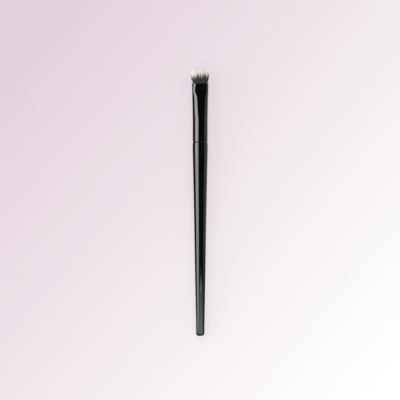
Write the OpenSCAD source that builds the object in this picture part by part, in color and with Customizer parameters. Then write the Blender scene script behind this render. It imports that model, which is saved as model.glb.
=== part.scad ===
// Eyeshadow brush, lying on its side on a table at z = 0.
// Its axis runs along X with the bristles towards +X. One of the handle's flats faces down, and the
// flat sides of the head face up and down, apart from a small turn.
// All lengths are in millimetres and all angles in degrees.

/* [Handle] */
// Length of the handle from the ferrule to the butt
handle_l = 108; // [80:1:140]
// How far the handle's fullest place stands proud of the ferrule's round part
belly_proud = 0.07; // [0:0.01:0.6]
// Distance from the ferrule to the fullest place
belly_at = 4; // [2:0.5:10]
// How far the shoulder against the ferrule stands proud of its round part
shoulder_proud = 0.02; // [0:0.01:0.1]
// Radius that breaks the edge of the shoulder
shoulder_round = 0.3; // [0.1:0.05:0.4]
// Diameter that the round taper runs down to at the butt, before the flats are cut
butt_d = 4.9; // [4.4:0.1:6]
// Radius of the rounded butt
butt_round = 1.8; // [0.8:0.1:2.1]
// How far the taper dips inside a straight line at its middle
taper_dip = 0.155; // [0:0.005:0.4]

/* [Flats] */
// Number of flats cut round the lower handle
flat_count = 8; // [6:1:10]
// Length of the flats, from the butt to their pointed tops
flat_l = 35; // [24:1:50]
// Length over which neighbouring flats meet at an edge, from the butt
flat_full_l = 22; // [12:1:23]
// Depth of the flats below the round taper, at the butt
flat_depth = 0.27; // [0.15:0.01:0.36]
// Turn of the ferrule and the head against the handle's flats
head_turn = 8; // [0:1:22]

/* [Tenon] */
// Room for glue between the tenon and the ferrule's bore
glue_room = 0.13; // [0.08:0.01:0.3]
// Length of the tenon
tenon_l = 10; // [6:0.5:11]
// Bevel at the end of the tenon
tenon_bevel = 0.5; // [0.1:0.1:1]

/* [Ferrule] */
// Length of the ferrule
ferrule_l = 32.9; // [28:0.1:45]
// Outer diameter of its round part
ferrule_d = 8.36; // [7:0.02:10]
// Thickness of the tube's wall
ferrule_wall = 0.35; // [0.25:0.05:0.4]
// Length of the round part, from the handle to where the tube starts to flatten
ferrule_round_l = 12; // [11.5:0.5:16]
// How far the edge that meets the handle is rolled in
roll_in = 0.095; // [0:0.005:0.15]
// Length of the rolled-in edge
rolled_l = 2.8; // [1:0.1:4]
// How far each edge of the mouth stands out past the round part
mouth_flare = 0.42; // [0.2:0.02:0.6]
// How far each flat side is pressed in at the flattest place, just behind the mouth
crimp_in = 1.25; // [0.6:0.01:1.5]

/* [Bristles] */
// Length of the bristles past the mouth
hair_l = 9.1; // [7:0.1:14]
// How far each edge of the head stands out past the mouth
hair_flare = 0.45; // [0.1:0.05:0.8]
// How far each flat side of the head rises past the ferrule's flattest place
hair_rise = 0.37; // [0.1:0.01:0.6]
// Height above the mouth at which the head reaches its full width
spread_h = 3; // [1.5:0.1:4]
// Distance between neighbouring strands at the root
strand_pitch = 0.33; // [0.31:0.005:0.38]
// Size of a strand across its corners, at its root
strand_d = 0.23; // [0.12:0.01:0.24]
// How far below the mouth the strands leave their backing
backing_set = 0.6; // [0.3:0.1:1]
// Thickness of the slice of backing that the strands are fused to
backing_h = 1.6; // [1:0.1:2.4]

/* [Resin and glue] */
// Length of the resin plug under the backing
resin_l = 9; // [4:0.5:12]
// Gap on each side of a filled or glued joint
fit_gap = 0.02; // [0.01:0.005:0.04]

/* [Hidden] */

// Where things lie along the axis
total_l = handle_l + ferrule_l + hair_l;
butt_x = -total_l / 2;
joint_x = butt_x + handle_l;
mouth_x = joint_x + ferrule_l;
// Sizes that follow from the ferrule's diameter
belly_d = ferrule_d + 2 * belly_proud;
shoulder_d = ferrule_d + 2 * shoulder_proud;
bore_d = ferrule_d - 2 * ferrule_wall;
tenon_d = bore_d - 2 * glue_room;
rolled_d = ferrule_d - 2 * roll_in;
mouth_w = ferrule_d + 2 * mouth_flare;
crimp_t = ferrule_d - 2 * crimp_in;
hair_w = mouth_w + 2 * hair_flare;
hair_t = crimp_t + 2 * hair_rise;
axis_z = belly_d / 2;

// Every cut runs this far past what it cuts
overrun = 1;
// Chords to each curved stretch of an outline
curve_n = 8;
taper_n = 18;
// Chords to each rounded corner of the ferrule's section
corner_n = 12;
// Fineness of the true cylinders
fine_n = 96;

// The pressed part of the tube, from the mouth down to the round part. In each pair the first
// number is the depth below the mouth, as a share of the pressed length. The second is how far
// the width has grown to mouth_w, or how far the thickness has shrunk to crimp_t.
press_l = ferrule_l - ferrule_round_l;
widen_shares = [[0, 1], [0.07, 0.9], [0.15, 0.79], [0.215, 0.74], [0.27, 0.67], [0.335, 0.57],
    [0.455, 0.46], [0.67, 0.29], [0.86, 0.12], [1, 0]];
flatten_shares = [[0, 0.7], [0.07, 0.77], [0.15, 0.94], [0.215, 1], [0.27, 0.85], [0.335, 0.53],
    [0.455, 0.37], [0.67, 0.24], [0.86, 0.09], [1, 0]];
// The rolled-in edge, from the joint. The first number of each is a share of its length, and the
// second is how far the diameter has grown from rolled_d to ferrule_d.
roll_shares = [[1, 1], [0.35, 0.7], [0, 0]];

// The domed end of the head. Its shoulders start at this share of the length, and the flat
// sides end at this share of the height of the middle.
dome_from_share = 0.66;
dome_power = 2.7;
side_drop_share = 0.5;
side_power = 2.5;
// Outline of the bundle in the mouth, between an ellipse at 2 and a rectangle
bundle_power = 2.5;
// Uneven set and length of the strands, as shares of their pitch and of the length
scatter_share = 0.1;
uneven_share = 0.08;
// Height at which a strand stops leaning out and starts to taper, as a share of its length
bend_share = 0.45;

// Radius of the handle's round taper at a distance from the butt
function taper_u(z) = (handle_l - belly_at - z) / (handle_l - belly_at);
function handle_r(z) =
    let (u = taper_u(z))
    belly_d / 2 + (butt_d - belly_d) / 2 * u - 4 * taper_dip * u * (1 - u);

// Points of an arc about a centre
function arc(c, r, from, to) = [for (i = [0:curve_n])
    let (a = from + (to - from) * i / curve_n) [c[0] + r * cos(a), c[1] + r * sin(a)]];

// Width and thickness of the pressed tube at a depth below the mouth
function tube_w(depth) = ferrule_d + (mouth_w - ferrule_d) * lookup(depth / press_l, widen_shares);
function tube_t(depth) = ferrule_d - (ferrule_d - crimp_t) * lookup(depth / press_l, flatten_shares);
// Pressing doesn't stretch the tube, so its corners keep the length round it
function corner_r(w, t) = (2 * (w + t) - PI * ferrule_d) / (8 - 2 * PI);

// One ring of points round a section with rounded corners
function ring(w, t, r, z) = [for (k = [0:3]) for (j = [0:corner_n - 1])
    let (a = 90 * (k + (j + 0.5) / corner_n),
         side = k == 0 || k == 3 ? 1 : -1,
         top = k < 2 ? 1 : -1)
    [top * (t / 2 - r) + r * sin(a), side * (w / 2 - r) + r * cos(a), z]];
// The ring round the pressed tube at a depth, drawn in by an inset
function tube_ring(depth, inset) =
    let (w = tube_w(depth), t = tube_t(depth))
    ring(w - 2 * inset, t - 2 * inset, corner_r(w, t) - inset, ferrule_l - depth);
// The ring round a round stretch of the tube
function round_ring(d, z) = ring(d, d, d / 2, z);

// The faces of a skin from each ring of n points to the next
function skin(n, from, to) = [for (i = [0:n - 1]) each [
    [from * n + i, to * n + i, from * n + (i + 1) % n],
    [from * n + (i + 1) % n, to * n + i, to * n + (i + 1) % n]]];

// A solid through rings of equal count, from its top ring down
module loft(rings) {
    n = len(rings[0]);
    m = len(rings);
    polyhedron(
        points = [for (r = rings) each r],
        faces = concat(
            [[for (i = [0:n - 1]) i]],
            [for (k = [0:m - 2]) each skin(n, k, k + 1)],
            [[for (i = [n - 1:-1:0]) (m - 1) * n + i]]));
}

// A tube through rings of equal count, down its outside and back up its bore
module tube(rings) {
    n = len(rings[0]);
    m = len(rings);
    polyhedron(
        points = [for (r = rings) each r],
        faces = [for (k = [0:m - 1]) each skin(n, k, (k + 1) % m)]);
}

// Lays what is drawn up Z along the brush's axis, from a place on it
module on_axis(x) translate([x, 0, axis_z]) rotate([0, 90, 0]) children();
// The same for what turns with the head
module on_head_axis(x) on_axis(x) rotate([0, 0, -head_turn]) children();

// Everything outside a plane that faces +X. It leans in towards the butt, and it passes the first
// distance from the axis at the first height and the second distance at the second height.
module outside(d0, z0, d1, z1) {
    translate([d0, -belly_d / 2, z0]) rotate([0, atan((d1 - d0) / (z1 - z0)), 0])
        translate([0, 0, -flat_l - overrun]) cube([belly_d, belly_d, 2 * (flat_l + overrun)]);
}

// One flat, which meets its neighbours for its full length and then runs out to a point
module flat_cut(turn) {
    full_d = handle_r(flat_full_l) * cos(180 / flat_count);
    rotate([0, 0, turn]) intersection() {
        outside(butt_d / 2 - flat_depth, 0, full_d, flat_full_l);
        outside(full_d, flat_full_l, handle_r(flat_l), flat_l);
    }
}

module handle() color("#141416") on_axis(butt_x) difference() {
    rotate_extrude($fn = fine_n) polygon(concat(
        [[0, 0]],
        arc([butt_d / 2 - butt_round, butt_round], butt_round, -90, 0),
        [for (i = [1:taper_n]) let (z = butt_round + (handle_l - belly_at - butt_round) * i / taper_n)
            [handle_r(z), z]],
        arc([shoulder_d / 2 - shoulder_round, handle_l - shoulder_round], shoulder_round, 0, 90),
        [[tenon_d / 2, handle_l],
         [tenon_d / 2, handle_l + tenon_l - tenon_bevel],
         [tenon_d / 2 - tenon_bevel, handle_l + tenon_l],
         [0, handle_l + tenon_l]]));
    for (k = [0:flat_count - 1]) flat_cut(360 * k / flat_count);
}

module ferrule() color("#0c0c0e") on_head_axis(joint_x) {
    depths = [for (s = widen_shares) s[0] * press_l];
    tube(concat(
        [for (d = depths) tube_ring(d, 0)],
        [for (s = roll_shares) round_ring(rolled_d + (ferrule_d - rolled_d) * s[1], s[0] * rolled_l)],
        [round_ring(bore_d, 0)],
        [for (i = [len(depths) - 1:-1:0]) tube_ring(depths[i], ferrule_wall)]));
}

module root_resin() color("#b9a36a") on_head_axis(joint_x) {
    top = backing_set + backing_h + fit_gap;
    inset = ferrule_wall + fit_gap;
    loft([for (i = [0:curve_n]) tube_ring(top + resin_l * i / curve_n, inset)]);
}

module tenon_glue() color("#d9cfa8") on_axis(joint_x + fit_gap) difference() {
    cylinder(d = bore_d - 2 * fit_gap, h = tenon_l - tenon_bevel, $fn = fine_n);
    translate([0, 0, -overrun])
        cylinder(d = tenon_d + 2 * fit_gap, h = tenon_l + 2 * overrun, $fn = fine_n);
}

// Half sizes of the bundle where it leaves its backing
root_w = tube_w(backing_set) / 2 - ferrule_wall - fit_gap;
root_t = tube_t(backing_set + backing_h) / 2 - ferrule_wall - fit_gap;
// How far the head has opened at a height above the mouth, from 0 to 1
function opened(h) = let (s = min(1, max(0, h / spread_h))) s * (2 - s);
// Height of the head's end over a place in the bundle
function end_h(u, v) =
    hair_l * (dome_from_share + (1 - dome_from_share)
        * pow(1 - pow(min(1, abs(u)), dome_power), 1 / dome_power))
        * (1 - side_drop_share * pow(abs(v), side_power));
// A number from -1 to 1 that looks random but is the same every time
function scatter(i, j, k) = 2 * rands(0, 1, 1, 97 * i + 1009 * j + 10007 * k)[0] - 1;

module bristle_tuft() color("#e4e2d8") on_head_axis(mouth_x) {
    rows = floor(root_t / (strand_pitch * sin(60)));
    cols = floor(root_w / strand_pitch);
    strand_r = strand_d / 2;
    // Every place on a staggered grid that lies inside the bundle, as shares of its half sizes
    grid = [for (j = [-rows:rows]) for (i = [-cols - 1:cols])
        let (x = (i + (j % 2 == 0 ? 0 : 0.5) + scatter_share * scatter(i, j, 1)) * strand_pitch,
             y = (j + scatter_share * scatter(i, j, 2)) * strand_pitch * sin(60),
             u = x / (root_w - strand_r),
             v = y / (root_t - strand_r))
        if (pow(abs(u), bundle_power) + pow(abs(v), bundle_power) < 1) [u, v, scatter(i, j, 3)]];
    reach_u = max([for (p = grid) abs(p[0])]);
    reach_v = max([for (p = grid) abs(p[1])]);
    places = [for (p = grid) [p[0] / reach_u, p[1] / reach_v, abs(p[2])]];
    // Each strand has three corners at its foot, the mouth and the bend, and then a point
    corners = 3;
    rings = 3;
    count = corners * rings + 1;
    union() {
        translate([0, 0, -backing_set - backing_h]) linear_extrude(backing_h)
            polygon([for (i = [0:4 * corner_n - 1])
                let (a = 90 * i / corner_n,
                     k = pow(pow(abs(cos(a)), bundle_power) + pow(abs(sin(a)), bundle_power),
                         -1 / bundle_power))
                [root_t * k * sin(a), root_w * k * cos(a)]]);
        polyhedron(
            points = [for (p = places)
                let (end = end_h(p[0], p[1]) * (1 - uneven_share * p[2] * norm([p[0], p[1]])),
                     heights = [-backing_set - backing_h / 2, 0, bend_share * end, end])
                for (k = [0:rings])
                    let (h = heights[k],
                         r = k == rings ? 0 : strand_r,
                         wide = root_w + (hair_w / 2 - root_w) * opened(h) - strand_r,
                         thick = root_t + (hair_t / 2 - root_t) * opened(h) - strand_r)
                    for (i = [0:k == rings ? 0 : corners - 1])
                        let (a = 360 * i / corners)
                        [p[1] * thick + r * sin(a), p[0] * wide + r * cos(a), h]],
            faces = [for (s = [0:len(places) - 1])
                let (b = s * count, point = b + corners * rings)
                each concat(
                    [[b + 2, b + 1, b]],
                    [for (k = [0:rings - 2]) for (i = [0:corners - 1])
                        let (low = b + k * corners, high = low + corners, j = (i + 1) % corners)
                        each [[low + j, high + i, low + i], [high + j, high + i, low + j]]],
                    [for (i = [0:corners - 1])
                        [point - corners + (i + 1) % corners, point, point - corners + i]])]);
    }
}

handle();
ferrule();
bristle_tuft();
root_resin();
tenon_glue();
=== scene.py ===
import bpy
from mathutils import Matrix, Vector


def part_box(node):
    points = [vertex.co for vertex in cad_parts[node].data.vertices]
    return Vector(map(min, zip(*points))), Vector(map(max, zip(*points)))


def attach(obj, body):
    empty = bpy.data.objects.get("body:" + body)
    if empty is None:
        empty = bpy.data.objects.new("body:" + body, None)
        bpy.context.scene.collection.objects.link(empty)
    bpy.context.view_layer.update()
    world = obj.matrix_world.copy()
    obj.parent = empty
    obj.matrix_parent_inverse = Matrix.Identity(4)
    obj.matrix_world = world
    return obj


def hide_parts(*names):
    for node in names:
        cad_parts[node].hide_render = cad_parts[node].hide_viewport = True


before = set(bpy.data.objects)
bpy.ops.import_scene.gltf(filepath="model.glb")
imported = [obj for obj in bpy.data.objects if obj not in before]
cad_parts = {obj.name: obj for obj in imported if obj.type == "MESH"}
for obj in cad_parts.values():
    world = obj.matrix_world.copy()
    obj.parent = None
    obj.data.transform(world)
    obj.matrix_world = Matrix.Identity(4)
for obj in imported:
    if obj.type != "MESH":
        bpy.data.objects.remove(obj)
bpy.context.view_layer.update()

import math
import random

import bmesh
import bpy
from mathutils import Matrix, Vector, noise

# Where the brush lies. Its axis runs along X above the table, with the bristles towards +X, and
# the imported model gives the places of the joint, the mouth and the two ends along it. The head
# is turned a little about the axis, because the handle rests on one of its flats.
handle_low, handle_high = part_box("handle")
ferrule_low, ferrule_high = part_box("ferrule")
MM = 0.001
AXIS_Z = (handle_low.z + handle_high.z) / 2
BUTT_X = handle_low.x
JOINT_X = ferrule_low.x
MOUTH_X = ferrule_high.x
HEAD_TURN = math.radians(8)
head_frame = Matrix.Translation((0, 0, AXIS_Z)) @ Matrix.Rotation(-HEAD_TURN, 4, "X")

# Camera. It looks straight at the flat side of the head from above, with the bristles at the
# top of the picture, through a long lens that keeps the brush nearly free of perspective.
camera_data = bpy.data.cameras.new("camera")
camera_data.lens = 200
camera = bpy.data.objects.new("camera", camera_data)
bpy.context.scene.collection.objects.link(camera)
camera.matrix_world = (
    head_frame
    @ Matrix.Translation((0.84 * MM, 0.14 * MM, 1.239))
    @ Matrix.Rotation(math.radians(-90), 4, "Z")
)
bpy.context.scene.camera = camera
bpy.context.scene.view_settings.view_transform = "Standard"

# Table. A wide, matt, pale board. The brush lies on it on the fullest place of its handle and on
# the top of the lower flat, so the board is laid at the small slope of the line through the two.
# Far from the brush it shows the same pale tone as the backdrop, so that no edge is seen.
BELLY_X = JOINT_X - 4 * MM
REST_X = BUTT_X + 35 * MM
REST_Z = AXIS_Z - 2.92 * MM
TABLE_R = 3
PALE = (0.88, 0.81, 0.86)


class Value:
    """A socket whose number can be used in sums, each of which adds a Math node."""

    def __init__(self, socket):
        self.socket = socket

    def math(self, operation, first, second=0):
        return node(self.socket.id_data, "ShaderNodeMath", {"operation": operation}, [first, second])

    def __add__(self, other):
        return self.math("ADD", self, other)

    def __sub__(self, other):
        return self.math("SUBTRACT", self, other)

    def __rsub__(self, other):
        return self.math("SUBTRACT", other, self)

    def __mul__(self, other):
        return self.math("MULTIPLY", self, other)

    def __truediv__(self, other):
        return self.math("DIVIDE", self, other)

    __radd__ = __add__
    __rmul__ = __mul__


def node(tree, kind, settings=None, inputs=(), output=0):
    """Adds a node, with its settings first and then its inputs, and gives one of its outputs."""
    new = tree.nodes.new(kind)
    for name, setting in (settings or {}).items():
        setattr(new, name, setting)
    named = inputs.items() if isinstance(inputs, dict) else enumerate(inputs)
    for name, value in named:
        if isinstance(value, Value):
            tree.links.new(value.socket, new.inputs[name])
        elif new.inputs[name].type == "RGBA":
            new.inputs[name].default_value = (*value, 1)
        else:
            new.inputs[name].default_value = value
    return Value(new.outputs[output]) if new.outputs else None


def blank(name):
    """A material with nothing in its tree but the output."""
    material = bpy.data.materials.new(name)
    material.use_nodes = True
    material.node_tree.nodes.clear()
    return material, material.node_tree


def ramp(tree, value, low, high):
    """Rises smoothly from 0 to 1 as the value goes from low to high, which may be the lower one."""
    kind = {"interpolation_type": "SMOOTHSTEP"}
    return node(tree, "ShaderNodeMapRange", kind, {"Value": value, "From Min": low, "From Max": high})


def blend(tree, share, first, second):
    """A mix of two colours."""
    return node(tree, "ShaderNodeMix", {"data_type": "RGBA"}, {0: share, 6: first, 7: second}, 2)


def place(tree):
    """The object's own coordinates, as a vector and as three numbers."""
    vector = node(tree, "ShaderNodeTexCoord", output="Object")
    parts = tree.nodes.new("ShaderNodeSeparateXYZ")
    tree.links.new(vector.socket, parts.inputs[0])
    return vector, *[Value(socket) for socket in parts.outputs]


def shown(tree):
    """1 for rays that show the background itself, in the picture or in a reflection."""
    rays = tree.nodes.new("ShaderNodeLightPath")
    seen = [Value(rays.outputs[f"Is {kind} Ray"]) for kind in ("Camera", "Glossy", "Transmission")]
    return seen[0].math("MINIMUM", seen[0] + seen[1] + seen[2], 1)


bpy.ops.object.select_all(action="DESELECT")
slope = math.atan2(REST_Z, BELLY_X - REST_X)
bpy.ops.mesh.primitive_circle_add(
    vertices=96, radius=TABLE_R, fill_type="NGON", location=(BELLY_X, 0, 0), rotation=(0, slope, 0)
)
table = bpy.context.object
table.name = "table"
bpy.ops.object.transform_apply(location=True, rotation=True, scale=True)
material, tree = blank("table_board")
_, x, y, _ = place(tree)
# The board's tone goes evenly from a faint lilac grey, beside the bristles, to white
across = 0.45 - 2.3 * x - 2.9 * y
tone = blend(tree, across, (0.629, 0.529, 0.59), (0.852, 0.847, 0.849))
diffuse = node(tree, "ShaderNodeBsdfDiffuse", None, {"Color": tone})
away = x.math("SQRT", x * x + y * y)
far = ramp(tree, away, 0.16, 0.42)
# Part of its tone is its own glow, as lit, so that the brush's shadow stays light
LIT, SHADOW_FILL = 1.2, 0.72
glow = node(
    tree, "ShaderNodeEmission", None,
    {"Color": blend(tree, far, tone, PALE), "Strength": LIT - (LIT - 1) * far},
)
share = (SHADOW_FILL + (1 - SHADOW_FILL) * far) * shown(tree)
mixed = node(tree, "ShaderNodeMixShader", None, [share, diffuse, glow])
node(tree, "ShaderNodeOutputMaterial", None, [mixed])
table.data.materials.append(material)

# Studio. The room gives even, soft light. What reflects in the gloss is a pale backdrop that
# stands low all round, under a dark ceiling, and the softboxes below.
world = bpy.data.worlds.new("studio")
bpy.context.scene.world = world
world.use_nodes = True
tree = world.node_tree
tree.nodes.clear()
ROOM_LIGHT = 0.86
direction = node(tree, "ShaderNodeTexCoord", output="Generated")
parts = tree.nodes.new("ShaderNodeSeparateXYZ")
tree.links.new(direction.socket, parts.inputs[0])
ceiling, wall = (math.sin(math.radians(angle)) for angle in (40, 32))
low_down = ramp(tree, Value(parts.outputs[2]), ceiling, wall)
backdrop = blend(tree, low_down, (0.012, 0.012, 0.012), PALE)
colour = blend(tree, shown(tree), (ROOM_LIGHT,) * 3, backdrop)
lit = node(tree, "ShaderNodeBackground", None, {"Color": colour, "Strength": 1.0})
node(tree, "ShaderNodeOutputWorld", None, [lit])


def gloss_panel(name, size, centre, turn, strength):
    """A panel that shows in the gloss alone. How bright it is there is a function of its tree."""
    bpy.ops.mesh.primitive_plane_add(size=1, location=centre, rotation=turn)
    panel = bpy.context.object
    panel.name = name
    bpy.ops.transform.resize(value=size, orient_type="LOCAL")
    bpy.ops.object.transform_apply(location=True, rotation=True, scale=True)
    material, tree = blank(name)
    glow = node(tree, "ShaderNodeEmission", None, {"Color": (1, 1, 1), "Strength": strength(tree)})
    node(tree, "ShaderNodeOutputMaterial", None, [glow])
    panel.data.materials.append(material)
    panel.visible_camera = panel.visible_diffuse = panel.visible_shadow = False
    panel.visible_transmission = False
    return panel


# The key softbox stands upright on the left of the picture and dims towards the butt
KEY_Y, KEY_H, KEY_W = 0.6, 0.74, 0.9
bpy.ops.object.select_all(action="DESELECT")
gloss_panel(
    "key_softbox", (KEY_W, KEY_H, 1), (0.1, KEY_Y, KEY_H / 2), (math.radians(90), 0, 0),
    lambda tree: 4.4 + 6.4 * ramp(tree, place(tree)[1], -0.25, 0.1),
)
# A small dim panel hangs over the butt's end of the table and shows in the top flat alone
bpy.ops.object.select_all(action="DESELECT")
gloss_panel(
    "top_softbox", (0.16, 0.3, 1), (-0.22, -0.19, 1.3), (0, 0, 0),
    lambda tree: 2.6 + 2.4 * ramp(tree, place(tree)[1], -0.165, -0.215),
)
# Black cards on the table darken the lower edges of the gloss, on the left of the picture all
# along the brush and on the right beside the butt alone, where the card fades into the table
CARD_L, CARD_W, CARD_Z, CARD_TONE = 0.17, 0.1, 0.4 * MM, 0.1


def card_fade(tree):
    """How bright the right card is."""
    return CARD_TONE + 0.75 * ramp(tree, place(tree)[1], -0.045, -0.015)


for name, edge, side, strength in (
    ("left_card", 1 * MM, 1, lambda tree: CARD_TONE),
    ("right_card", 5.2 * MM, -1, card_fade),
):
    bpy.ops.object.select_all(action="DESELECT")
    centre = (0, side * (edge + CARD_W / 2), BELLY_X * math.tan(slope) + CARD_Z)
    gloss_panel(name, (CARD_L, CARD_W, 1), centre, (0, slope, 0), strength)


def soft_lamp(name, width, height, energy, centre, tilt):
    """A soft light on matt surfaces, which doesn't show in the gloss."""
    data = bpy.data.lights.new(name, "AREA")
    data.shape = "RECTANGLE"
    data.size, data.size_y, data.energy = width, height, energy
    lamp = bpy.data.objects.new(name, data)
    lamp.matrix_world = Matrix.Translation(centre) @ Matrix.Rotation(math.radians(tilt), 4, "X")
    lamp.visible_camera = lamp.visible_glossy = False
    bpy.context.scene.collection.objects.link(lamp)


# The light that the key softbox throws, and an even light from overhead
soft_lamp("key_light", KEY_W, KEY_H, 4, (0.1, KEY_Y, KEY_H / 2), -90)
soft_lamp("overhead_light", 0.6, 0.6, 3.5, (0, 0.2, 1.6), -7)

# Handle. One stick of turned hardwood under black gloss lacquer. It is fullest just behind the
# ferrule and tapers to a rounded butt. Four flats are cut round its lower third, and its front
# end is a tenon inside the ferrule.
HANDLE_L = JOINT_X - BUTT_X
BELLY_R = (handle_high.z - handle_low.z) / 2
BELLY_AT = 4 * MM
BUTT_R, BUTT_ROUND = 2.45 * MM, 1.8 * MM
SHOULDER_R, SHOULDER_ROUND, SHOULDER_SINK = 4.2 * MM, 0.8 * MM, 0.3 * MM
TAPER_DIP = 0.155 * MM
TENON_R, TENON_L, TENON_BEVEL = 3.7 * MM, 10 * MM, 0.5 * MM
FLATS, FLAT_DEPTH, BEND_DEPTH = 4, 0.33 * MM, 0.15 * MM
FLAT_BEND_L, FLAT_L, FLAT_FADE = 25 * MM, 35 * MM, 1.3
# The lacquer pulls back from the edges of the flats, which leaves them faintly crowned
EDGE_SOFT, CROWN = 0.02 * MM, 0.012 * MM
TURN_STEPS = 192


def taper_r(up):
    """Radius of the round taper at a distance from the butt."""
    u = (HANDLE_L - BELLY_AT - up) / (HANDLE_L - BELLY_AT)
    return BELLY_R + (BUTT_R - BELLY_R) * u - 4 * TAPER_DIP * u * (1 - u)


def flat_distance(up):
    """Distance of a flat from the axis. It runs out softly through the surface at its top."""
    start = BUTT_R - FLAT_DEPTH
    if up < FLAT_BEND_L:
        return start + (taper_r(FLAT_BEND_L) - BEND_DEPTH - start) * up / FLAT_BEND_L
    left = (FLAT_L - up) / (FLAT_L - FLAT_BEND_L)
    return taper_r(up) - BEND_DEPTH * math.copysign(abs(left) ** FLAT_FADE, left)


def steps(first, last, count):
    """Evenly spaced numbers from first to last, without the first."""
    return [first + (last - first) * i / count for i in range(1, count + 1)]


outline = [(0, BUTT_R - BUTT_ROUND)]
for angle in steps(0, math.pi / 2, 14):
    outline.append((BUTT_ROUND * (1 - math.cos(angle)), BUTT_R - BUTT_ROUND * (1 - math.sin(angle))))
FLATS_END = 2 * FLAT_L - FLAT_BEND_L
for up in steps(BUTT_ROUND, FLAT_BEND_L, 24) + steps(FLAT_BEND_L, FLATS_END, 48):
    outline.append((up, taper_r(up)))
for up in steps(FLATS_END, HANDLE_L - BELLY_AT, 20):
    outline.append((up, taper_r(up)))
for up in steps(HANDLE_L - BELLY_AT, HANDLE_L - SHOULDER_ROUND, 6):
    sink = (up - HANDLE_L + BELLY_AT) / BELLY_AT
    outline.append((up, BELLY_R - (BELLY_R - SHOULDER_R) * sink * sink))
for angle in steps(0, math.pi / 2, 6):
    outline.append((
        HANDLE_L - SHOULDER_ROUND * (1 - math.sin(angle)),
        SHOULDER_R - SHOULDER_SINK * (1 - math.cos(angle)),
    ))
outline += [
    (HANDLE_L, TENON_R),
    (HANDLE_L + TENON_L - TENON_BEVEL, TENON_R),
    (HANDLE_L + TENON_L, TENON_R - TENON_BEVEL),
]


def turn_on_lathe(name, outline, start_x, sides):
    """Extrudes a disc along the axis, ring by ring, to an outline of distances and radii."""
    bpy.ops.object.select_all(action="DESELECT")
    bpy.ops.mesh.primitive_circle_add(
        vertices=sides, radius=outline[0][1], fill_type="NGON",
        location=(start_x + outline[0][0], 0, AXIS_Z), rotation=(0, math.radians(90), 0),
    )
    piece = bpy.context.object
    piece.name = piece.data.name = name
    bpy.ops.object.transform_apply(location=True, rotation=True, scale=True)
    bpy.ops.object.mode_set(mode="EDIT")
    for (last_at, last_r), (at, r) in zip(outline, outline[1:]):
        bpy.ops.mesh.extrude_region_move(TRANSFORM_OT_translate={"value": (at - last_at, 0, 0)})
        bpy.ops.transform.resize(
            value=(1, r / last_r, r / last_r), center_override=(start_x + at, 0, AXIS_Z)
        )
    bpy.ops.mesh.select_all(action="SELECT")
    bpy.ops.mesh.normals_make_consistent(inside=False)
    bpy.ops.object.mode_set(mode="OBJECT")
    return piece


handle = turn_on_lathe("handle", outline, BUTT_X, TURN_STEPS)
# Mills the flats: what stands outside one is brought in to it
flat = 2 * math.pi / FLATS
for vertex in handle.data.vertices:
    up = vertex.co.x - BUTT_X
    if up < FLATS_END:
        out = Vector((0, vertex.co.y, vertex.co.z - AXIS_Z))
        bearing = math.atan2(out.y, -out.z)
        off = abs((bearing + flat / 2) % flat - flat / 2)
        limit = flat_distance(up) / math.cos(off) - CROWN * (off / flat * 4) ** 2
        limit -= EDGE_SOFT * math.log(1 + math.exp((limit - out.length) / EDGE_SOFT))
        vertex.co -= out * (1 - limit / out.length)
bpy.ops.object.shade_smooth_by_angle(angle=math.radians(50))


def principled(name, **settings):
    """A material of one Principled shader, with its uniform values set on its sockets."""
    material, tree = blank(name)
    shader = tree.nodes.new("ShaderNodeBsdfPrincipled")
    end = tree.nodes.new("ShaderNodeOutputMaterial")
    tree.links.new(shader.outputs[0], end.inputs[0])
    for socket, value in settings.items():
        wanted = shader.inputs[socket.replace("_", " ")]
        wanted.default_value = (*value, 1) if wanted.type == "RGBA" else value
    return material, tree, shader


def plug(tree, shader, **links):
    """Links values to sockets of a shader."""
    for socket, value in links.items():
        tree.links.new(value.socket, shader.inputs[socket.replace("_", " ")])


lacquer, tree, shader = principled("gloss_lacquer", IOR=1.4)
spot = place(tree)[0]
# The lacquer lies in faint waves along the wood's grain, with a few fine specks of dust in it
grain = node(tree, "ShaderNodeMapping", None, {"Vector": spot, "Scale": (90, 900, 900)})
waves = node(tree, "ShaderNodeTexNoise", None, {"Vector": grain, "Scale": 1.0, "Detail": 3.0})
handled = node(tree, "ShaderNodeTexNoise", None, {"Vector": spot, "Scale": 140.0, "Detail": 4.0})
dust = node(tree, "ShaderNodeTexVoronoi", None, {"Vector": spot, "Scale": 700.0})
speck = ramp(tree, dust, 0.07, 0.03)
plug(
    tree, shader,
    Base_Color=blend(tree, waves, (0.0015, 0.0015, 0.0017), (0.0035, 0.0034, 0.0037)),
    Roughness=0.07 + 0.06 * ramp(tree, handled, 0.35, 0.75) + 0.1 * speck,
    Normal=node(
        tree, "ShaderNodeBump", None,
        {"Strength": 0.12, "Distance": 0.02 * MM, "Height": waves + 0.4 * speck},
    ),
)
handle.data.materials.append(lacquer)
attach(handle, "root")
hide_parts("handle")

# Ferrule. One drawn aluminium tube with a gloss black coating. Its lower edge is rolled in
# against the handle, and it is pressed flat towards its mouth, where it flares a little again.
FERRULE_L = MOUTH_X - JOINT_X
FERRULE_R, WALL = 4.18 * MM, 0.35 * MM
ROLL_IN, ROLLED_L = 0.095 * MM, 2.8 * MM
LIP_SAG, SAG_L = 0.25 * MM, 3 * MM
# Width and thickness of the pressed tube at depths below the lip
PRESSED = [
    (0, 9.2, 6.15), (1.5, 9.12, 6.1), (3.2, 9.02, 5.92), (4.5, 8.98, 5.86), (5.6, 8.92, 6.24),
    (7.0, 8.84, 7.04), (9.5, 8.75, 7.44), (14.0, 8.6, 7.76), (18.0, 8.46, 8.14), (20.9, 8.36, 8.36),
]


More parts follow.
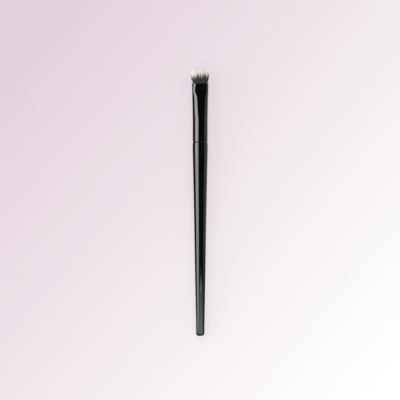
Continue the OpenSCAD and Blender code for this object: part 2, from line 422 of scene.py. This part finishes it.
def along(table, at, column):
    """A smooth curve through one column of a table whose first column rises."""
    if at >= table[-1][0]:
        return table[-1][column]
    i = max(k for k in range(len(table) - 1) if table[k][0] <= at or k == 0)
    a, b = table[i], table[i + 1]

    def slope(k):
        if k in (0, len(table) - 1):
            return 0 if k else (table[1][column] - table[0][column]) / (table[1][0] - table[0][0])
        before = (table[k][column] - table[k - 1][column]) / (table[k][0] - table[k - 1][0])
        after = (table[k + 1][column] - table[k][column]) / (table[k + 1][0] - table[k][0])
        return 0 if before * after <= 0 else 2 * before * after / (before + after)

    span = b[0] - a[0]
    t = (at - a[0]) / span
    return (
        a[column] * (2 * t**3 - 3 * t**2 + 1) + b[column] * (3 * t**2 - 2 * t**3)
        + span * (slope(i) * (t**3 - 2 * t**2 + t) + slope(i + 1) * (t**3 - t**2))
    )


def pressed(bearing, width, thick):
    """Where a point of the round tube goes when it is pressed. The length round it is kept."""
    corner = (2 * (width + thick) - 2 * math.pi * FERRULE_R) / (8 - 2 * math.pi)
    quarter = math.pi / 2 * FERRULE_R
    side = 1 if math.cos(bearing) >= 0 else -1
    top = 1 if math.sin(bearing) >= 0 else -1
    from_side = math.atan2(abs(math.sin(bearing)), abs(math.cos(bearing))) / (math.pi / 2) * quarter
    upright = thick / 2 - corner
    bend = math.pi / 2 * corner
    if from_side < upright:
        y, z = width / 2, from_side
    elif from_side < upright + bend:
        turn = (from_side - upright) / corner
        y, z = width / 2 - corner + corner * math.cos(turn), upright + corner * math.sin(turn)
    else:
        y, z = quarter - from_side, thick / 2
    return side * y, top * z


tube = [(0, FERRULE_R - ROLL_IN)]
for up in steps(0, ROLLED_L, 6):
    tube.append((up, FERRULE_R - ROLL_IN * (1 - up / ROLLED_L) ** 2))
tube += [(up, FERRULE_R) for up in steps(ROLLED_L, FERRULE_L - 20.9 * MM, 6)]
tube += [(up, FERRULE_R) for up in steps(FERRULE_L - 20.9 * MM, FERRULE_L, 64)]
ferrule = turn_on_lathe("ferrule", tube, JOINT_X, 128)
bpy.ops.object.mode_set(mode="EDIT")
mesh = bmesh.from_edit_mesh(ferrule.data)
bmesh.ops.delete(mesh, geom=[f for f in mesh.faces if len(f.verts) > 4], context="FACES_ONLY")
for vertex in mesh.verts:
    depth = (MOUTH_X - vertex.co.x) / MM
    out = vertex.co - Vector((vertex.co.x, 0, AXIS_Z))
    if depth < PRESSED[-1][0]:
        width, thick = (along(PRESSED, depth, column) * MM for column in (1, 2))
        y, z = pressed(math.atan2(out.z, out.y), width, thick)
        sag = LIP_SAG * max(0, 1 - depth * MM / SAG_L) ** 2 * (1 - (2 * y / width) ** 2)
        vertex.co = Vector((vertex.co.x - sag, y, z + AXIS_Z))
bmesh.update_edit_mesh(ferrule.data)
bpy.ops.object.mode_set(mode="OBJECT")
ferrule.data.transform(head_frame @ Matrix.Translation((0, 0, -AXIS_Z)))


def finish_with(piece, kind, **settings):
    """Gives the piece a modifier and applies it."""
    bpy.context.view_layer.objects.active = piece
    modifier = piece.modifiers.new(kind.lower(), kind)
    for name, value in settings.items():
        setattr(modifier, name, value)
    bpy.ops.object.modifier_apply(modifier=modifier.name)


finish_with(ferrule, "SOLIDIFY", thickness=WALL, offset=-1, use_rim=True, use_even_offset=True)
finish_with(
    ferrule, "BEVEL", width=0.17 * MM, segments=4, limit_method="ANGLE", angle_limit=math.radians(60)
)
bpy.ops.object.shade_smooth_by_angle(angle=math.radians(40))
coating, tree, shader = principled("black_coating", IOR=1.43)
spot = place(tree)[0]
drawn = node(tree, "ShaderNodeMapping", None, {"Vector": spot, "Scale": (60, 2600, 2600)})
lines = node(tree, "ShaderNodeTexNoise", None, {"Vector": drawn, "Scale": 1.0, "Detail": 4.0})
cloud = node(tree, "ShaderNodeTexNoise", None, {"Vector": spot, "Scale": 260.0, "Detail": 3.0})
plug(
    tree, shader,
    Base_Color=blend(tree, cloud, (0.001, 0.001, 0.0012), (0.0028, 0.0028, 0.003)),
    Roughness=0.05 + 0.05 * lines + 0.04 * ramp(tree, cloud, 0.4, 0.7),
    Normal=node(
        tree, "ShaderNodeBump", None, {"Strength": 0.1, "Distance": 0.01 * MM, "Height": lines}
    ),
)
ferrule.data.materials.append(coating)
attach(ferrule, "root")
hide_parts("ferrule")

# Bristles. One bundle of some thousands of soft fibres, dark at the root and dipped white at the
# tip. They fan out past the mouth and end in a shallow dome, and their roots are set in a plug.
HAIR_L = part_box("bristle_tuft")[1].x - MOUTH_X
ROOT_W, ROOT_T = 4.05 * MM, 2.62 * MM
HEAD_W, HEAD_T = 4.97 * MM, 3.28 * MM
SPREAD_H, ROOT_DEPTH = 3 * MM, 1 * MM
BUNDLE_POWER = 2.5
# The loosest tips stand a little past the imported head, and the dome's top is a little to one side
LOOSE, DOME_AT, HEAD_LEAN = 0.4 * MM, 0.1, 0.12 * MM
DOME_FROM, DOME_POWER = 0.62, 1.8
SIDE_DROP, SIDE_POWER = 0.5, 2.5
HAIR_PITCH, HAIR_R = 0.1 * MM, 0.072 * MM
HAIR_SIDES, HAIR_CUTS = 3, (0.22, 0.42, 0.62, 0.8, 0.985)
TONES = 64
SEED = 7


def dome(u, v):
    """Height of the head's end over a place in the bundle, given as shares of its half sizes."""
    away = min(1, abs(u - DOME_AT))
    middle = DOME_FROM + (1 - DOME_FROM) * (1 - away**DOME_POWER) ** (1 / DOME_POWER)
    return (HAIR_L + LOOSE) * middle * (1 - SIDE_DROP * abs(v) ** SIDE_POWER)


# One fibre, a unit tall: a three-sided stick cut into rings and drawn to a point
bpy.ops.object.select_all(action="DESELECT")
bpy.ops.mesh.primitive_cylinder_add(vertices=HAIR_SIDES, radius=1, depth=1, location=(0, 0, 0.5))
fibre = bpy.context.object
bpy.ops.object.transform_apply(location=True, rotation=True, scale=True)
bpy.ops.object.mode_set(mode="EDIT")
for cut in HAIR_CUTS:
    bpy.ops.mesh.select_all(action="SELECT")
    bpy.ops.mesh.bisect(plane_co=(0, 0, cut), plane_no=(0, 0, 1))
mesh = bmesh.from_edit_mesh(fibre.data)
for face in mesh.faces:
    face.select_set(all(vertex.co.z > 0.999 for vertex in face.verts))
mesh.select_flush_mode()
bpy.ops.mesh.merge(type="CENTER")
bpy.ops.object.mode_set(mode="OBJECT")
shape = [vertex.co.copy() for vertex in fibre.data.vertices]
faces = [list(face.vertices) for face in fibre.data.polygons]
faces = [face for face in faces if any(shape[i].z > 0.001 for i in face)]
bpy.data.objects.remove(fibre)

rng = random.Random(SEED)
noise.seed_set(SEED)
places = []
rows = int(ROOT_T / (HAIR_PITCH * 0.866)) + 1
columns = int(ROOT_W / HAIR_PITCH) + 1
for row in range(-rows, rows + 1):
    for column in range(-columns, columns + 1):
        u = (column + 0.5 * (row % 2) + rng.uniform(-0.35, 0.35)) * HAIR_PITCH / ROOT_W
        v = (row + rng.uniform(-0.35, 0.35)) * HAIR_PITCH * 0.866 / ROOT_T
        if abs(u) ** BUNDLE_POWER + abs(v) ** BUNDLE_POWER < 1:
            places.append((u, v))

points, polygons, maps = [], [], []
for u, v in places:
    # Fibres that stand close together lean the same way, so that the tips gather in fine locks
    lock = noise.noise_vector(Vector((u * 5.2, v * 3.2, 2.7)))
    clump = noise.noise(Vector((u * 8.5, v * 3.0, 188.53)))
    tuft = noise.noise(Vector((u * 3.4, v * 1.6, 42.47)))
    top = dome(u, v) * (1 - 0.05 * rng.random() ** 2 - 0.03 * max(0, clump) - 0.07 * max(0, tuft))
    lean = Vector((lock.x + rng.gauss(0, 0.35), lock.y + rng.gauss(0, 0.35)))
    bow = rng.gauss(0, 0.1)
    tone = 0.5 + 0.8 * clump + 0.47 * tuft + 0.14 * u - 0.34 * u**6 + rng.gauss(0, 0.2)
    column = int(min(0.999, max(0, tone)) * TONES)
    first = len(points)
    for corner in shape:
        h = -ROOT_DEPTH + (top + ROOT_DEPTH) * corner.z
        opened = min(1, max(0, h / SPREAD_H))
        opened = opened**2 * (3 - 2 * opened)
        free = max(0, h / HAIR_L)
        width = ROOT_W + (HEAD_W - ROOT_W) * opened - HAIR_R
        thick = ROOT_T + (HEAD_T - ROOT_T) * opened - HAIR_R
        sway = 0.16 * MM * free**1.5
        side = u * width + HEAD_LEAN * opened
        side += (lean.x + bow * math.sin(free * math.pi)) * sway * (1 - abs(u) ** 4)
        rise = v * thick + (lean.y + bow * math.cos(free * 3)) * sway * (1 - abs(v) ** 4)
        size = HAIR_R * (1 - 0.15 * corner.z**3)
        spot = Vector((MOUTH_X + h, side + corner.x * size, rise + corner.y * size))
        points.append(head_frame @ spot)
    for face in faces:
        polygons.append([first + i for i in face])
        low = min(math.atan2(shape[i].y, shape[i].x) for i in face)
        for i in face:
            turn = 0.15
            if shape[i].z < 0.999:
                turn = (math.atan2(shape[i].y, shape[i].x) - low) / (2 * math.pi)
            height = (top + ROOT_DEPTH) * shape[i].z / (HAIR_L + ROOT_DEPTH)
            maps.append(((column + 0.15 + 0.7 * turn) / TONES, height))
data = bpy.data.meshes.new("bristles")
data.from_pydata(points, [], polygons)
layer = data.uv_layers.new(name="OFBake")
for loop, uv in zip(layer.data, maps):
    loop.uv = uv
bristles = bpy.data.objects.new("bristles", data)
bpy.context.scene.collection.objects.link(bristles)
bpy.context.view_layer.objects.active = bristles
bpy.ops.object.select_all(action="DESELECT")
bristles.select_set(True)
bpy.ops.object.mode_set(mode="EDIT")
bpy.ops.mesh.select_all(action="SELECT")
bpy.ops.mesh.normals_make_consistent(inside=False)
bpy.ops.object.mode_set(mode="OBJECT")
bpy.ops.object.shade_smooth()

dipped, tree, shader = principled("dipped_fibre", IOR=1.45, Specular_IOR_Level=0.3)
uv = node(tree, "ShaderNodeUVMap", {"uv_map": "OFBake"})
parts = tree.nodes.new("ShaderNodeSeparateXYZ")
tree.links.new(uv.socket, parts.inputs[0])
tone, height = Value(parts.outputs[0]), Value(parts.outputs[1])
own = node(
    tree, "ShaderNodeTexWhiteNoise", {"noise_dimensions": "1D"},
    {"W": tone.math("FLOOR", tone * TONES)},
)
# The dip ends lower on some locks than on others
dip = ramp(tree, height + 0.26 * (tone - 0.5) + 0.06 * (own - 0.5), 0.352, 0.64)
dark = blend(tree, own, (0.024, 0.021, 0.02), (0.058, 0.051, 0.048))
cream = blend(tree, own, (0.93, 0.88, 0.82), (0.97, 0.92, 0.865))
white = blend(tree, own, (0.97, 0.955, 0.91), (1.0, 0.995, 0.955))
tip = blend(tree, ramp(tree, height, 0.5, 0.8), cream, white)
plug(
    tree, shader,
    Base_Color=blend(tree, dip, dark, tip),
    Roughness=0.42 + 0.2 * dip + 0.08 * own,
)
data.materials.append(dipped)
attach(bristles, "root")
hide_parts("bristle_tuft")

# Set roots. The fibres are fused into a flat cake of resin just inside the mouth.
CAKE_TOP, CAKE_H, CAKE_GAP = 0.6 * MM, 1.6 * MM, 0.03 * MM
bpy.ops.object.select_all(action="DESELECT")
bpy.ops.mesh.primitive_circle_add(
    vertices=64, radius=1, fill_type="NGON", rotation=(0, math.radians(90), 0)
)
cake = bpy.context.object
cake.name = cake.data.name = "set_roots"
bpy.ops.object.transform_apply(location=True, rotation=True, scale=True)
for vertex in cake.data.vertices:
    bulk = abs(vertex.co.y) ** BUNDLE_POWER + abs(vertex.co.z) ** BUNDLE_POWER
    reach = bulk ** (-1 / BUNDLE_POWER)
    vertex.co.y *= reach * (ROOT_W - CAKE_GAP)
    vertex.co.z *= reach * (ROOT_T - CAKE_GAP)
bpy.ops.object.mode_set(mode="EDIT")
bpy.ops.mesh.select_all(action="SELECT")
bpy.ops.transform.translate(value=(MOUTH_X - CAKE_TOP - CAKE_H, 0, 0))
bpy.ops.mesh.extrude_region_move(TRANSFORM_OT_translate={"value": (CAKE_H, 0, 0)})
bpy.ops.mesh.inset(thickness=0.15 * MM)
bpy.ops.transform.translate(value=(0.08 * MM, 0, 0))
bpy.ops.mesh.select_all(action="SELECT")
bpy.ops.mesh.normals_make_consistent(inside=False)
bpy.ops.object.mode_set(mode="OBJECT")
cake.data.transform(head_frame)
bpy.ops.object.shade_smooth_by_angle(angle=math.radians(40))
soaked, tree, shader = principled("soaked_roots", Roughness=0.4)
speckle = node(tree, "ShaderNodeTexVoronoi", None, {"Vector": place(tree)[0], "Scale": 5500.0})
speckle = ramp(tree, speckle, 0.2, 0.7)
plug(tree, shader, Base_Color=blend(tree, speckle, (0.02, 0.018, 0.017), (0.07, 0.055, 0.04)))
cake.data.materials.append(soaked)
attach(cake, "root")
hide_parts("bristle_tuft")

# Resin and glue. A plug of epoxy locks the roots in the ferrule, and a film of glue holds the
# tenon in its bore. Both are shut in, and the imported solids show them.
for name, pale, deep, rough in (
    ("root_resin", (0.55, 0.42, 0.2), (0.42, 0.3, 0.13), 0.25),
    ("tenon_glue", (0.72, 0.64, 0.44), (0.6, 0.52, 0.34), 0.45),
):
    material, tree, shader = principled(name)
    spot = place(tree)[0]
    cloud = node(tree, "ShaderNodeTexNoise", None, {"Vector": spot, "Scale": 500.0, "Detail": 3.0})
    plug(tree, shader, Base_Color=blend(tree, cloud, deep, pale), Roughness=rough + 0.2 * cloud)
    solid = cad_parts[name]
    solid.data.materials.clear()
    solid.data.materials.append(material)
